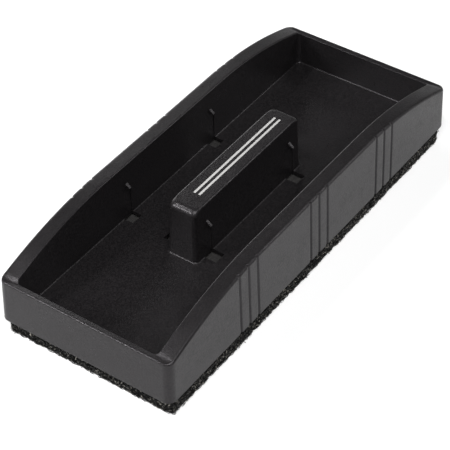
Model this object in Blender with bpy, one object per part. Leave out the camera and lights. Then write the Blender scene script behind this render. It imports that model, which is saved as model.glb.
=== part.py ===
"""Large board eraser with a storage tray: moulded tray with a block handle, bonded wiping pad under it.

Metres, +Z up. +X runs along the length, +Y across, and the origin is the middle of the footprint on
the surface that the wiping pad rests on. Run with: blender --background --python part.py
"""

import math

import bmesh
import bpy

MM = 0.001

# Overall sizes, measured over the skirt at the bottom of the tray
LENGTH = 304.8 * MM
WIDTH = 124.2 * MM
SKIRT_Z = 9.7 * MM  # bottom edge of the tray above the surface
CREST_Z = SKIRT_Z + 46.9 * MM  # top of the long walls, at their middle
END_Z = SKIRT_Z + 30.1 * MM  # top of the end walls
SIDE_DRAFT = math.radians(1.0)  # how far the long walls lean out towards the skirt
END_DRAFT = math.radians(1.8)
OUTER_CORNER = 5.5 * MM

# Storage cavity
SIDE_RIM = 10.5 * MM  # width of the hollow long walls at the crest
END_RIM = 4.1 * MM
CAVITY_DRAFT = math.radians(1.0)
CAVITY_CORNER = 3.0 * MM
FLOOR_Z = SKIRT_Z + 6.9 * MM
FLOOR_THICKNESS = 2.4 * MM
SKIN = 2.2 * MM  # wall thickness of the moulding where it is cored out

# Arched rim of the long walls: flat in the middle, then a round shoulder down to the level end rims
CREST_FLAT_HALF = 56.3 * MM
END_TOP_HALF = LENGTH / 2 - (END_Z - SKIRT_Z) * math.tan(END_DRAFT)
SHOULDER_END = END_TOP_HALF - END_RIM / 2
SHOULDER_RUN = SHOULDER_END - CREST_FLAT_HALF
SHOULDER_RADIUS = (SHOULDER_RUN**2 + (CREST_Z - END_Z) ** 2) / (2 * (CREST_Z - END_Z))
SHOULDER_STEPS = 12

# Block handle, moulded in one with the floor
HANDLE_HALF_LENGTH = 56.6 * MM
HANDLE_HALF_WIDTH = 10.8 * MM
HANDLE_TOP_Z = SKIRT_Z + 46.1 * MM
HANDLE_DRAFT = math.radians(1.5)
HANDLE_CORNER = 3.0 * MM
HANDLE_TOP_ROUND = 2.4 * MM

# Snap nubs that hold pens in the two channels, with the moulding hole under each
STATION_X = 44.0 * MM
NUB_TOP_Z = SKIRT_Z + 34.0 * MM
NUB_DEPTH = 3.5 * MM
NUB_HEIGHT = 4.4 * MM
NUB_TIP = 0.7 * MM
NUB_HALF_WIDTH = 1.5 * MM
SLOT_HALF_WIDTH = 3.8 * MM
SLOT_DEPTH = 0.8 * MM
HOLE_HALF_LENGTH = 4.5 * MM
WALL_HOLE_WIDTH = 7.4 * MM
HANDLE_HOLE_WIDTH = 9.3 * MM

# Upright grooves in the outside of the long walls: three groups of three
GROOVE_GROUPS = (-74.0 * MM, 0.0, 74.0 * MM)
GROOVE_PITCH = 9.1 * MM
GROOVE_RADIUS = 1.4 * MM
GROOVE_DEPTH = 0.8 * MM

# Wiping pad and what bonds it to the tray
GAP = 0.3 * MM  # between pieces that touch
PAD_LENGTH = 295.5 * MM
PAD_WIDTH = 119.2 * MM
PAD_SHIFT = (-2.75 * MM, -2.1 * MM)  # the pad is stuck on a little off centre
PAD_CORNER = 3.0 * MM
TAPE_THICKNESS = 1.0 * MM
BOARD_CLEARANCE = 0.8 * MM
BOARD_CORNER = 3.0 * MM
SIDE_TAPE = (280.0 * MM, 18.0 * MM)
SIDE_TAPE_Y = 30.5 * MM
END_TAPE = (60.0 * MM, 24.0 * MM)
END_TAPE_X = 102.0 * MM

# How the solids are cut
PAST = 5.0 * MM  # how far a large cutter runs past the faces that it cuts
STATION_PAST = 1.0 * MM  # the same for the small cutters of a station
ARCH_TRIM = 0.05 * MM  # how far the block stands above the arch's top before it is trimmed
SAME_PLACE = 0.01 * MM  # points closer than this count as one


def clear_scene():
    """Remove whatever the open file holds."""
    for old in list(bpy.data.objects):
        bpy.data.objects.remove(old, do_unlink=True)


def new_collection(name):
    """Make a collection and link it to the scene."""
    made = bpy.data.collections.new(name)
    bpy.context.scene.collection.children.link(made)
    return made


def material(name, colour, roughness):
    """Plain Principled material with a linear colour."""
    made = bpy.data.materials.new(name)
    made.use_nodes = True
    shader = made.node_tree.nodes["Principled BSDF"]
    shader.inputs["Base Color"].default_value = (*colour, 1.0)
    shader.inputs["Roughness"].default_value = roughness
    shader.inputs["Metallic"].default_value = 0.0
    return made


def object_from(name, bm, collection):
    """Turn a bmesh into an object in the given collection."""
    mesh = bpy.data.meshes.new(name)
    bmesh.ops.recalc_face_normals(bm, faces=bm.faces)
    bm.to_mesh(mesh)
    bm.free()
    made = bpy.data.objects.new(name, mesh)
    collection.objects.link(made)
    return made


def add_block(bm, low, high, top_inset=(0.0, 0.0), corner=0.0, top_round=0.0):
    """Add a box between two corners, its top drawn in, with rounded upright and top edges."""
    cube = bmesh.ops.create_cube(bm, size=1.0)["verts"]
    middle = [(a + b) / 2 for a, b in zip(low, high)]
    for vert in cube:
        top = vert.co.z > 0
        half_x = (high[0] - low[0]) / 2 - (top_inset[0] if top else 0.0)
        half_y = (high[1] - low[1]) / 2 - (top_inset[1] if top else 0.0)
        vert.co.x = middle[0] + math.copysign(half_x, vert.co.x)
        vert.co.y = middle[1] + math.copysign(half_y, vert.co.y)
        vert.co.z = high[2] if top else low[2]
    if not corner:
        return
    edges = {edge for vert in cube for edge in vert.link_edges}
    upright = [e for e in edges if abs(e.verts[0].co.z - e.verts[1].co.z) > (high[2] - low[2]) / 2]
    bmesh.ops.bevel(
        bm, geom=upright, offset=corner, offset_type="OFFSET", segments=5, profile=0.5, affect="EDGES"
    )
    if top_round:
        rim = [e for e in bm.edges if all(abs(v.co.z - high[2]) < SAME_PLACE for v in e.verts)]
        bmesh.ops.bevel(
            bm, geom=rim, offset=top_round, offset_type="OFFSET", segments=4, profile=0.5, affect="EDGES"
        )


def block(name, collection, low, high, **shape):
    """One block as an object of its own."""
    bm = bmesh.new()
    add_block(bm, low, high, **shape)
    return object_from(name, bm, collection)


def rim_height(x):
    """Height of the rim at a distance x from the middle."""
    run = min(max(abs(x) - CREST_FLAT_HALF, 0.0), SHOULDER_RUN)
    return CREST_Z - (SHOULDER_RADIUS - math.sqrt(SHOULDER_RADIUS**2 - run**2))


def arched_slab(name, collection, lowered):
    """Slab with the rim's arch on top, for trimming blocks to it; lowered drops the arch."""
    reach = LENGTH / 2 + PAST
    step = SHOULDER_RUN / SHOULDER_STEPS
    shoulder = [CREST_FLAT_HALF + step * i for i in range(SHOULDER_STEPS + 1)] + [reach]
    across = [-x for x in reversed(shoulder)] + shoulder
    outline = [(-reach, -PAST)] + [(x, rim_height(x) - lowered) for x in across] + [(reach, -PAST)]
    curve = bpy.data.curves.new(name, "CURVE")
    curve.dimensions = "2D"
    curve.fill_mode = "BOTH"
    curve.extrude = WIDTH / 2 + PAST
    spline = curve.splines.new("POLY")
    spline.points.add(len(outline) - 1)
    for point, (x, z) in zip(spline.points, outline):
        point.co = (x, z, 0.0, 1.0)
    spline.use_cyclic_u = True
    guide = bpy.data.objects.new(name + "_outline", curve)
    guide.rotation_euler.x = math.radians(90.0)
    collection.objects.link(guide)
    bpy.context.view_layer.update()
    flat = bpy.data.meshes.new_from_object(guide.evaluated_get(bpy.context.evaluated_depsgraph_get()))
    bm = bmesh.new()
    bm.from_mesh(flat)
    bm.transform(guide.matrix_world)
    bmesh.ops.remove_doubles(bm, verts=bm.verts, dist=SAME_PLACE)
    bpy.data.objects.remove(guide, do_unlink=True)
    bpy.data.meshes.remove(flat)
    return object_from(name, bm, collection)


def combine(target, operation, other):
    """Add an exact Boolean modifier."""
    boolean = target.modifiers.new(f"{operation.lower()}_{other.name}", "BOOLEAN")
    boolean.operation = operation
    boolean.solver = "EXACT"
    boolean.object = other


def outer_half_width(z):
    """Half the tray's outside width at a height."""
    return WIDTH / 2 - (z - SKIRT_Z) * math.tan(SIDE_DRAFT)


def cavity_half_width(z):
    """Half the storage cavity's width at a height."""
    return outer_half_width(CREST_Z) - SIDE_RIM - (CREST_Z - z) * math.tan(CAVITY_DRAFT)


def cavity_half_length(z):
    """Half the storage cavity's length at a height."""
    return END_TOP_HALF - END_RIM - (END_Z - z) * math.tan(CAVITY_DRAFT)


def cavity_cutter(collection):
    """What is taken out of the tray from above, wider at the top."""
    top = CREST_Z + PAST
    half = (cavity_half_length(FLOOR_Z), cavity_half_width(FLOOR_Z))
    spread = (top - FLOOR_Z) * math.tan(CAVITY_DRAFT)
    return block(
        "cavity",
        collection,
        (-half[0], -half[1], FLOOR_Z),
        (half[0], half[1], top),
        top_inset=(-spread, -spread),
        corner=CAVITY_CORNER,
    )


def handle_block(name, collection, shrink):
    """The handle's outside, or with shrink above zero the core that hollows it from below."""
    low_z = SKIRT_Z - PAST if shrink else FLOOR_Z - FLOOR_THICKNESS / 2
    high_z = HANDLE_TOP_Z - shrink
    half = (HANDLE_HALF_LENGTH - shrink, HANDLE_HALF_WIDTH - shrink)
    inset = (high_z - low_z) * math.tan(HANDLE_DRAFT)
    return block(
        name,
        collection,
        (-half[0], -half[1], low_z),
        (half[0], half[1], high_z),
        top_inset=(inset, inset),
        corner=HANDLE_CORNER - shrink,
        top_round=0.0 if shrink else HANDLE_TOP_ROUND,
    )


def wall_cores(collection, arch):
    """The two long cores that hollow the long walls from below, under the arched rim."""
    bm = bmesh.new()
    inner = cavity_half_width(CREST_Z) + SKIN
    outer = outer_half_width(CREST_Z) - SKIN
    length = cavity_half_length(FLOOR_Z) - SKIN
    for side in (-1, 1):
        across = sorted((side * inner, side * outer))
        add_block(bm, (-length, across[0], SKIRT_Z - PAST), (length, across[1], CREST_Z + PAST))
    cores = object_from("wall_cores", bm, collection)
    combine(cores, "INTERSECT", arch)
    return cores


def underside_recess(collection):
    """The shallow recess inside the skirt, up to the underside of the floor."""
    half = (LENGTH / 2 - END_RIM, WIDTH / 2 - SKIN)
    return block(
        "underside_recess",
        collection,
        (-half[0], -half[1], SKIRT_Z - PAST),
        (half[0], half[1], FLOOR_Z - FLOOR_THICKNESS),
        corner=OUTER_CORNER - SKIN,
    )


def stations():
    """Yield x, the face's y under the nub, the way that the nub points, and the floor hole's width."""
    ledge_z = NUB_TOP_Z - NUB_HEIGHT
    wall_y = cavity_half_width(ledge_z)
    handle_y = HANDLE_HALF_WIDTH - (ledge_z - FLOOR_Z) * math.tan(HANDLE_DRAFT)
    for x in (-STATION_X, STATION_X):
        for side in (-1, 1):
            yield x, side * wall_y, -side, WALL_HOLE_WIDTH
            yield x, side * handle_y, side, HANDLE_HOLE_WIDTH


def station_blocks(name, collection, kind):
    """Slots, floor holes or nubs of all eight stations in one object."""
    bm = bmesh.new()
    for x, face_y, out, hole_width in stations():
        inside = face_y - out * SLOT_DEPTH
        if kind == "nub":
            across = (face_y - out * SKIN / 2, face_y + out * NUB_DEPTH)
            spans = (NUB_HALF_WIDTH, NUB_TOP_Z - NUB_HEIGHT, NUB_TOP_Z)
        elif kind == "slot":
            across = (inside, face_y + out * STATION_PAST)
            spans = (SLOT_HALF_WIDTH, FLOOR_Z - FLOOR_THICKNESS / 2, NUB_TOP_Z - NUB_HEIGHT)
        else:
            across = (inside, face_y + out * hole_width)
            spans = (HOLE_HALF_LENGTH, FLOOR_Z - FLOOR_THICKNESS - STATION_PAST, FLOOR_Z + STATION_PAST)
        low_y, high_y = sorted(across)
        half, low_z, high_z = spans
        before = set(bm.verts)
        add_block(bm, (x - half, low_y, low_z), (x + half, high_y, high_z))
        if kind == "nub":
            tip = [v for v in bm.verts if v not in before and v.co.z > low_z + NUB_TIP]
            for vert in tip:
                if abs(vert.co.y - (face_y + out * NUB_DEPTH)) < GAP:
                    vert.co.z = low_z + NUB_TIP
    return object_from(name, bm, collection)


def groove_cutter(collection):
    """Upright round cutters, tilted to the draft of the long walls."""
    bm = bmesh.new()
    height = CREST_Z - SKIRT_Z + 2 * PAST
    for side in (-1, 1):
        for group in GROOVE_GROUPS:
            for index in (-1, 0, 1):
                rod = bmesh.ops.create_cone(
                    bm,
                    cap_ends=True,
                    segments=12,
                    radius1=GROOVE_RADIUS,
                    radius2=GROOVE_RADIUS,
                    depth=height,
                )["verts"]
                for vert in rod:
                    z = vert.co.z + (SKIRT_Z + CREST_Z) / 2
                    axis_y = outer_half_width(z) + GROOVE_RADIUS - GROOVE_DEPTH
                    vert.co.x += group + index * GROOVE_PITCH
                    vert.co.y += side * axis_y
                    vert.co.z = z
    return object_from("grooves", bm, collection)


def tray_body(parts, cutters):
    """The moulded tray: skirt, hollow long walls, end walls, floor, handle and nubs in one piece."""
    top = CREST_Z + ARCH_TRIM
    rise = top - SKIRT_Z
    tray = block(
        "tray_body",
        parts,
        (-LENGTH / 2, -WIDTH / 2, SKIRT_Z),
        (LENGTH / 2, WIDTH / 2, top),
        top_inset=(rise * math.tan(END_DRAFT), rise * math.tan(SIDE_DRAFT)),
        corner=OUTER_CORNER,
    )
    combine(tray, "INTERSECT", arched_slab("rim_arch", cutters, 0.0))
    combine(tray, "DIFFERENCE", cavity_cutter(cutters))
    combine(tray, "UNION", handle_block("handle", cutters, 0.0))
    combine(tray, "DIFFERENCE", underside_recess(cutters))
    combine(tray, "DIFFERENCE", wall_cores(cutters, arched_slab("core_arch", cutters, SKIN)))
    combine(tray, "DIFFERENCE", handle_block("handle_core", cutters, SKIN))
    combine(tray, "DIFFERENCE", station_blocks("slots", cutters, "slot"))
    combine(tray, "DIFFERENCE", station_blocks("floor_holes", cutters, "hole"))
    combine(tray, "UNION", station_blocks("nubs", cutters, "nub"))
    combine(tray, "DIFFERENCE", groove_cutter(cutters))
    tray.data.materials.append(material("black_moulded_plastic", (0.045, 0.043, 0.046), 0.42))
    return tray


def wiping_pad(parts):
    """The fibrous pad that rests on the board."""
    half = (PAD_LENGTH / 2, PAD_WIDTH / 2)
    pad = block(
        "wiping_pad",
        parts,
        (PAD_SHIFT[0] - half[0], PAD_SHIFT[1] - half[1], 0.0),
        (PAD_SHIFT[0] + half[0], PAD_SHIFT[1] + half[1], SKIRT_Z - GAP),
        corner=PAD_CORNER,
    )
    pad.data.materials.append(material("black_fibre_pad", (0.012, 0.012, 0.012), 0.95))
    return pad


def backing_board(parts):
    """The board that fills the skirt's recess between the pad and the tapes."""
    half = (LENGTH / 2 - END_RIM - BOARD_CLEARANCE, WIDTH / 2 - SKIN - BOARD_CLEARANCE)
    top = FLOOR_Z - FLOOR_THICKNESS - 2 * GAP - TAPE_THICKNESS
    board = block(
        "backing_board",
        parts,
        (-half[0], -half[1], SKIRT_Z),
        (half[0], half[1], top),
        corner=BOARD_CORNER,
    )
    board.data.materials.append(material("grey_fibreboard", (0.09, 0.085, 0.08), 0.9))
    return board


def bonding_tapes(parts):
    """Double-sided tapes between the board and the underside of the floor."""
    foam = material("grey_foam_tape", (0.25, 0.25, 0.24), 0.8)
    top = FLOOR_Z - FLOOR_THICKNESS - GAP
    places = {
        "side_tape_left": (0.0, SIDE_TAPE_Y, SIDE_TAPE),
        "side_tape_right": (0.0, -SIDE_TAPE_Y, SIDE_TAPE),
        "end_tape_near": (-END_TAPE_X, 0.0, END_TAPE),
        "end_tape_far": (END_TAPE_X, 0.0, END_TAPE),
    }
    for name, (x, y, (length, width)) in places.items():
        tape = block(
            name,
            parts,
            (x - length / 2, y - width / 2, top - TAPE_THICKNESS),
            (x + length / 2, y + width / 2, top),
        )
        tape.data.materials.append(foam)


def main():
    """Build the eraser."""
    clear_scene()
    parts = new_collection("board_eraser")
    cutters = new_collection("cutters")
    tray_body(parts, cutters)
    wiping_pad(parts)
    backing_board(parts)
    bonding_tapes(parts)
    for cutter in cutters.objects:
        cutter.hide_render = True
        cutter.display_type = "WIRE"


main()
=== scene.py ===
"""Looks of a large board eraser: a black moulded tray with arched sides and a block handle, over a fibre pad.

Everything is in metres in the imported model's own frame: +X along the eraser, +Y across it, +Z up, with the
origin on the surface that the pad rests on. Sizes in the classes below are in millimetres, and so is what their
methods take and return, until a mesh is made.
"""

import logging
import math
from collections.abc import Callable
from dataclasses import dataclass, field
from enum import Enum
from functools import partial
from typing import ClassVar

import bmesh
import bpy
import numpy as np
from bmesh.types import BMesh, BMVert
from bpy.types import Material, Node, NodeSocket, NodeTree, Object, World
from mathutils import Matrix, Vector, noise


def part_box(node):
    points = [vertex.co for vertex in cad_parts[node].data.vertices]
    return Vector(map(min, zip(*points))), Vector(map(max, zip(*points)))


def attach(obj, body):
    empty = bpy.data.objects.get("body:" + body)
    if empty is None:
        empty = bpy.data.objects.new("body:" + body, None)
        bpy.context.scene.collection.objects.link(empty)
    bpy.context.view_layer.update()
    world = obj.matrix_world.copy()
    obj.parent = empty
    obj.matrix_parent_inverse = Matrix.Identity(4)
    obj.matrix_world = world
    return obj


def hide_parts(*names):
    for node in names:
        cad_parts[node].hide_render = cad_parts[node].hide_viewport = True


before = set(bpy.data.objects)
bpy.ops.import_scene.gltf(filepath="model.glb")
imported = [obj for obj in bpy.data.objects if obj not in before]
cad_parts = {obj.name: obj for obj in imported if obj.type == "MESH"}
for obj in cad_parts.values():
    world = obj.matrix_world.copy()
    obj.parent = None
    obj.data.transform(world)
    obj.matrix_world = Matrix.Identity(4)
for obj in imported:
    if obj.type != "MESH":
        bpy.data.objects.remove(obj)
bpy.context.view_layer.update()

LOG = logging.getLogger("board_eraser")
MM = 0.001
SAME_PLACE = 1e-6  # metres, within which two points of a mesh are one
WHITE = (1.0, 1.0, 1.0, 1.0)
CORNER_SEGMENTS = 6
BODY = "root"

AddNode = Callable[..., Node]
Source = NodeSocket | Node
Sockets = bpy.types.bpy_prop_collection


class Side(Enum):
    """The two long sides of the tray, by the sign of their Y."""

    LEFT = 1
    RIGHT = -1


class StationPart(Enum):
    """What is moulded at each of the eight pen stations."""

    NUB = "snap_nub"
    BAND = "relief_band"
    HOLE = "floor_hole"


class Slot(Enum):
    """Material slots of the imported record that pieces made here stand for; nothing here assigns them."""

    TRAY = "moulded_tray"
    PAD = "fibre_pad"


# ---- helpers


def linear(hex_colour: str) -> tuple[float, float, float, float]:
    """Turn an sRGB hex colour into linear RGBA.

    Args:
        hex_colour: six hex digits, with or without a leading #.

    Returns:
        The linear colour with an alpha of 1.
    """
    digits = hex_colour.lstrip("#")
    values = [int(digits[i : i + 2], 16) / 255 for i in (0, 2, 4)]
    channels = [v / 12.92 if v <= 0.04045 else ((v + 0.055) / 1.055) ** 2.4 for v in values]
    return (*channels, 1.0)


def per_metre(size_mm: float) -> float:
    """Pattern scale, in cycles a metre, of a feature of that size."""
    return 1.0 / (size_mm * MM)


def slope(degrees: float) -> float:
    """Run over rise of a draft angle."""
    return math.tan(math.radians(degrees))


def add_node(
    tree: NodeTree, kind: str, values: dict | None = None, links: dict | None = None, **settings: object
) -> Node:
    """Add one node with its settings, socket values and links.

    Args:
        tree: the node tree that it goes into.
        kind: the node's type.
        values: input socket name or index, to its constant.
        links: input socket name or index, to what feeds it: an output, a node for its first output, or a list.
        settings: the node's own properties.

    Returns:
        The new node.
    """
    node = tree.nodes.new(kind)
    for name, value in settings.items():
        setattr(node, name, value)
    for socket, value in (values or {}).items():
        node.inputs[socket].default_value = value
    for socket, sources in (links or {}).items():
        for source in sources if isinstance(sources, list) else [sources]:
            output = source.outputs[0] if isinstance(source, Node) else source
            tree.links.new(output, node.inputs[socket])
    return node


def new_material(name: str) -> tuple[Material, AddNode]:
    """Start a node material.

    Args:
        name: the material's name.

    Returns:
        The material, and what adds a node to it.
    """
    made = bpy.data.materials.new(name)
    made.use_nodes = True
    made.node_tree.nodes.clear()
    return made, partial(add_node, made.node_tree)


def new_rule(name: str, inputs: dict[str, str]) -> tuple[NodeTree, AddNode, Sockets]:
    """Start a Geometry Nodes tree.

    Args:
        name: the tree's name.
        inputs: name of each of its inputs, to its kind.

    Returns:
        The tree, what adds a node to it, and its inputs' sockets by name.
    """
    tree = bpy.data.node_groups.new(name, "GeometryNodeTree")
    tree.interface.new_socket("Geometry", in_out="OUTPUT", socket_type="NodeSocketGeometry")
    for label, kind in inputs.items():
        tree.interface.new_socket(label, in_out="INPUT", socket_type=f"NodeSocket{kind}")
    add = partial(add_node, tree)
    return tree, add, add("NodeGroupInput").outputs


def put_in_scene(name: str, data: bpy.types.ID) -> Object:
    """Put a mesh, lamp or camera in the scene, at the origin.

    Args:
        name: the object's name.
        data: the mesh, lamp or camera.

    Returns:
        The new object.
    """
    made = bpy.data.objects.new(name, data)
    bpy.context.scene.collection.objects.link(made)
    return made


def object_from(name: str, bm: BMesh, material: Material | None = None) -> Object:
    """Turn a bmesh into an object in the scene, at the origin.

    Args:
        name: the object's name.
        bm: the mesh, which is freed.
        material: its finish, if it has one.

    Returns:
        The new object.
    """
    mesh = bpy.data.meshes.new(name)
    bm.to_mesh(mesh)
    bm.free()
    if material:
        mesh.materials.append(material)
    return put_in_scene(name, mesh)


def bake_modifiers(piece: Object) -> None:
    """Replace a piece's mesh by its evaluated one and drop its modifiers.

    Args:
        piece: the piece, with its modifiers.
    """
    bpy.context.view_layer.update()
    graph = bpy.context.evaluated_depsgraph_get()
    done = bpy.data.meshes.new_from_object(piece.evaluated_get(graph))
    piece.modifiers.clear()
    old, piece.data = piece.data, done
    done.name = piece.name
    bpy.data.meshes.remove(old)


def grow(name: str, rule: NodeTree, given: dict[str, object]) -> Object:
    """Run a Geometry Nodes tree and keep what it makes as a plain mesh.

    Args:
        name: the new object's name.
        rule: the tree.
        given: the name of each of its inputs, to its value.

    Returns:
        The new object, at the origin.
    """
    piece = object_from(name, bmesh.new())
    nodes = piece.modifiers.new(rule.name, "NODES")
    nodes.node_group = rule
    for item in rule.interface.items_tree:
        if item.item_type == "SOCKET" and item.in_out == "INPUT":
            nodes[item.identifier] = given[item.name]
    bake_modifiers(piece)
    return piece


def wear(piece: Object, finish: Material) -> None:
    """Give a whole piece one finish, in its only slot.

    Args:
        piece: the piece.
        finish: its material.
    """
    piece.data.materials.clear()
    piece.data.materials.append(finish)
    piece.data.polygons.foreach_set("material_index", [0] * len(piece.data.polygons))


def remove(*pieces: Object) -> None:
    """Remove helper objects."""
    for piece in pieces:
        bpy.data.objects.remove(piece, do_unlink=True)


def add_band(bm: BMesh, lower: list, upper: list) -> None:
    """Join two closed rings of points, anticlockwise seen from above, by faces that point outwards.

    Args:
        bm: the mesh that they are in.
        lower: points of the lower ring.
        upper: as many points of the upper ring.
    """
    for i in range(len(lower)):
        j = (i + 1) % len(lower)
        bm.faces.new((lower[i], lower[j], upper[j], upper[i]))


def add_box(
    bm: BMesh, low: tuple, high: tuple, top_inset: float = 0.0, corner: float = 0.0
) -> list[BMVert]:
    """Add a box with its top drawn in and its upright edges rounded.

    Args:
        bm: the mesh that it goes into.
        low: lowest corner.
        high: highest corner.
        top_inset: how far each side of the top is drawn in.
        corner: radius of the upright edges.

    Returns:
        The box's own eight corners, before any rounding.
    """
    verts = bmesh.ops.create_cube(bm, size=1.0)["verts"]
    for vert in verts:
        top = vert.co.z > 0
        for axis in (0, 1):
            half = (high[axis] - low[axis]) / 2 - (top_inset if top else 0.0)
            middle = (high[axis] + low[axis]) / 2
            vert.co[axis] = (middle + math.copysign(half, vert.co[axis])) * MM
        vert.co.z = (high[2] if top else low[2]) * MM
    if corner:
        tall = (high[2] - low[2]) * MM / 2
        edges = {e for v in verts for e in v.link_edges if abs(e.verts[0].co.z - e.verts[1].co.z) > tall}
        bmesh.ops.bevel(
            bm, geom=list(edges), offset=corner * MM, segments=CORNER_SEGMENTS, profile=0.5, affect="EDGES"
        )
    return verts


def cut(piece: Object, operation: str, *others: Object) -> None:
    """Cut or join other solids to a piece, and remove them.

    Args:
        piece: the piece.
        operation: the Boolean modifier's operation.
        others: the solids.
    """
    for other in others:
        boolean = piece.modifiers.new(other.name, "BOOLEAN")
        boolean.operation = operation
        boolean.solver = "EXACT"
        boolean.object = other
        bake_modifiers(piece)
    remove(*others)


# ---- finishes


@dataclass(frozen=True)
class Finish:
    """What the patterned finishes share: two colours that the material's own pattern blends, and its gloss."""

    name: ClassVar[str]
    colours: tuple[str, str]
    roughness: float
    gloss: float = 0.5
    sheen: str = "#ffffff"
    ior: float = 1.5

    def pattern(self, add: AddNode, place: Source) -> dict[str, Source]:
        """Add the pattern's nodes.

        Args:
            add: adds a node.
            place: where the pattern is looked up.

        Returns:
            The second colour's share, as "share", and what feeds the shader's own inputs.
        """
        raise NotImplementedError

    def material(self) -> Material:
        """Build the finish."""
        made, add = new_material(self.name)
        links = self.pattern(add, add("ShaderNodeTexCoord").outputs["Object"])
        first, second = (linear(colour) for colour in self.colours)
        blend = add("ShaderNodeMix", {"A": first, "B": second}, {"Factor": links.pop("share")}, data_type="RGBA")
        constants = {
            "Roughness": self.roughness,
            "Specular IOR Level": self.gloss,
            "Specular Tint": linear(self.sheen),
            "IOR": self.ior,
        }
        shader = add("ShaderNodeBsdfPrincipled", constants, links | {"Base Color": blend.outputs["Result"]})
        add("ShaderNodeOutputMaterial", links={"Surface": shader})
        return made


@dataclass(frozen=True)
class MouldedPlastic(Finish):
    """Black injection-moulded polystyrene with a fine spark-eroded texture: dark, soft sheen, faint mottling."""

    name: ClassVar[str] = "black_moulded_polystyrene"
    colours: tuple[str, str] = ("#0f0e0f", "#232122")  # as moulded, and rubbed on the peaks of the grain
    roughness: float = 0.34
    gloss: float = 0.26  # the grain's pits trap part of the polymer's own shine
    sheen: str = "#fffaff"  # the carbon black gives it a faint violet cast
    pit_roughness: float = 0.05  # how far the pits are rougher, and the peaks smoother, than the whole
    mottle_roughness: tuple[float, float] = (-0.04, 0.05)
    grain_mm: float = 1.0  # the real grain is about 0.1 mm, too fine to show, so it is drawn coarser
    mottle_mm: float = 9.0
    flow_mm: float = 60.0
    grain_depth_mm: float = 0.12
    flow_depth_mm: float = 0.4

    def pattern(self, add: AddNode, place: Source) -> dict[str, Source]:
        """Grain all over, gloss that varies in patches, and slow waves where the plastic flowed.

        Args:
            add: adds a node.
            place: where the pattern is looked up.

        Returns:
            The rubbed colour's share, the roughness and the normal.
        """
        grain, mottle, flow = (
            add("ShaderNodeTexNoise", {"Scale": per_metre(mm), "Detail": detail, "Roughness": rough}, {"Vector": place})
            for mm, detail, rough in ((self.grain_mm, 2.0, 0.6), (self.mottle_mm, 4.0, 0.6), (self.flow_mm, 2.0, 0.5))
        )
        rubbed = add("ShaderNodeMapRange", {"From Min": 0.35, "From Max": 0.75}, {"Value": grain})
        low, high = (self.roughness + more for more in self.mottle_roughness)
        patches = add(
            "ShaderNodeMapRange", {"From Min": 0.3, "From Max": 0.7, "To Min": low, "To Max": high}, {"Value": mottle}
        )
        pit = self.pit_roughness
        pits = add(
            "ShaderNodeMapRange", {"From Min": 0.35, "From Max": 0.65, "To Min": pit, "To Max": -pit}, {"Value": grain}
        )
        rough = add("ShaderNodeMath", links={0: patches, 1: pits}, operation="ADD")
        waves = add("ShaderNodeBump", {"Strength": 0.25, "Distance": self.flow_depth_mm * MM}, {"Height": flow})
        depth = {"Strength": 0.8, "Distance": self.grain_depth_mm * MM}
        bump = add("ShaderNodeBump", depth, {"Height": grain, "Normal": waves})
        return {"share": rubbed, "Roughness": rough, "Normal": bump}


@dataclass(frozen=True)
class LoftyFibre(Finish):
    """Black nonwoven polyester batt: crossing strands, nearly lightless between them, with a powdery grey bloom."""

    name: ClassVar[str] = "black_nonwoven_batt"
    colours: tuple[str, str] = ("#050505", "#1f1e1d")  # between the strands, and the bloom on them
    roughness: float = 0.95
    gloss: float = 0.1
    strand_mm: float = 0.9  # the real strands are about 0.05 mm, too fine to show, so they are drawn coarser
    stretch: float = 0.14  # a strand's width over its length
    lay_angles: tuple[float, ...] = (15.0, 75.0, 132.0)  # degrees
    lay_tilt: tuple[float, float] = (0.4, 0.3)  # radians
    clump_mm: float = 4.0
    depth_mm: float = 0.5

    def pattern(self, add: AddNode, place: Source) -> dict[str, Source]:
        """Thin lines that cross at the lay angles, paler in clumps.

        Args:
            add: adds a node.
            place: where the pattern is looked up.

        Returns:
            The bloom's share and the normal.
        """
        web = None
        for angle in self.lay_angles:
            turn = {"Rotation": (*self.lay_tilt, math.radians(angle)), "Scale": (self.stretch, 1.0, 1.0)}
            laid = add("ShaderNodeMapping", turn, {"Vector": place})
            ripple = {"Scale": per_metre(self.strand_mm), "Detail": 2.0, "Distortion": 0.8}
            strands = add("ShaderNodeTexNoise", ripple, {"Vector": laid})
            off_centre = add("ShaderNodeMath", {1: 0.5}, {0: strands}, operation="SUBTRACT")
            away = add("ShaderNodeMath", links={0: off_centre}, operation="ABSOLUTE")
            thin = {"From Min": 0.01, "From Max": 0.05, "To Min": 1.0, "To Max": 0.0}
            line = add("ShaderNodeMapRange", thin, {"Value": away})
            web = add("ShaderNodeMath", links={0: web, 1: line}, operation="MAXIMUM") if web is not None else line
        clumping = {"Scale": per_metre(self.clump_mm), "Detail": 4.0, "Roughness": 0.7}
        clumps = add("ShaderNodeTexNoise", clumping, {"Vector": place})
        bloom = add("ShaderNodeMath", links={0: web, 1: clumps}, operation="MULTIPLY")
        bump = add("ShaderNodeBump", {"Strength": 1.0, "Distance": self.depth_mm * MM}, {"Height": web})
        return {"share": bloom, "Normal": bump}


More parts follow.
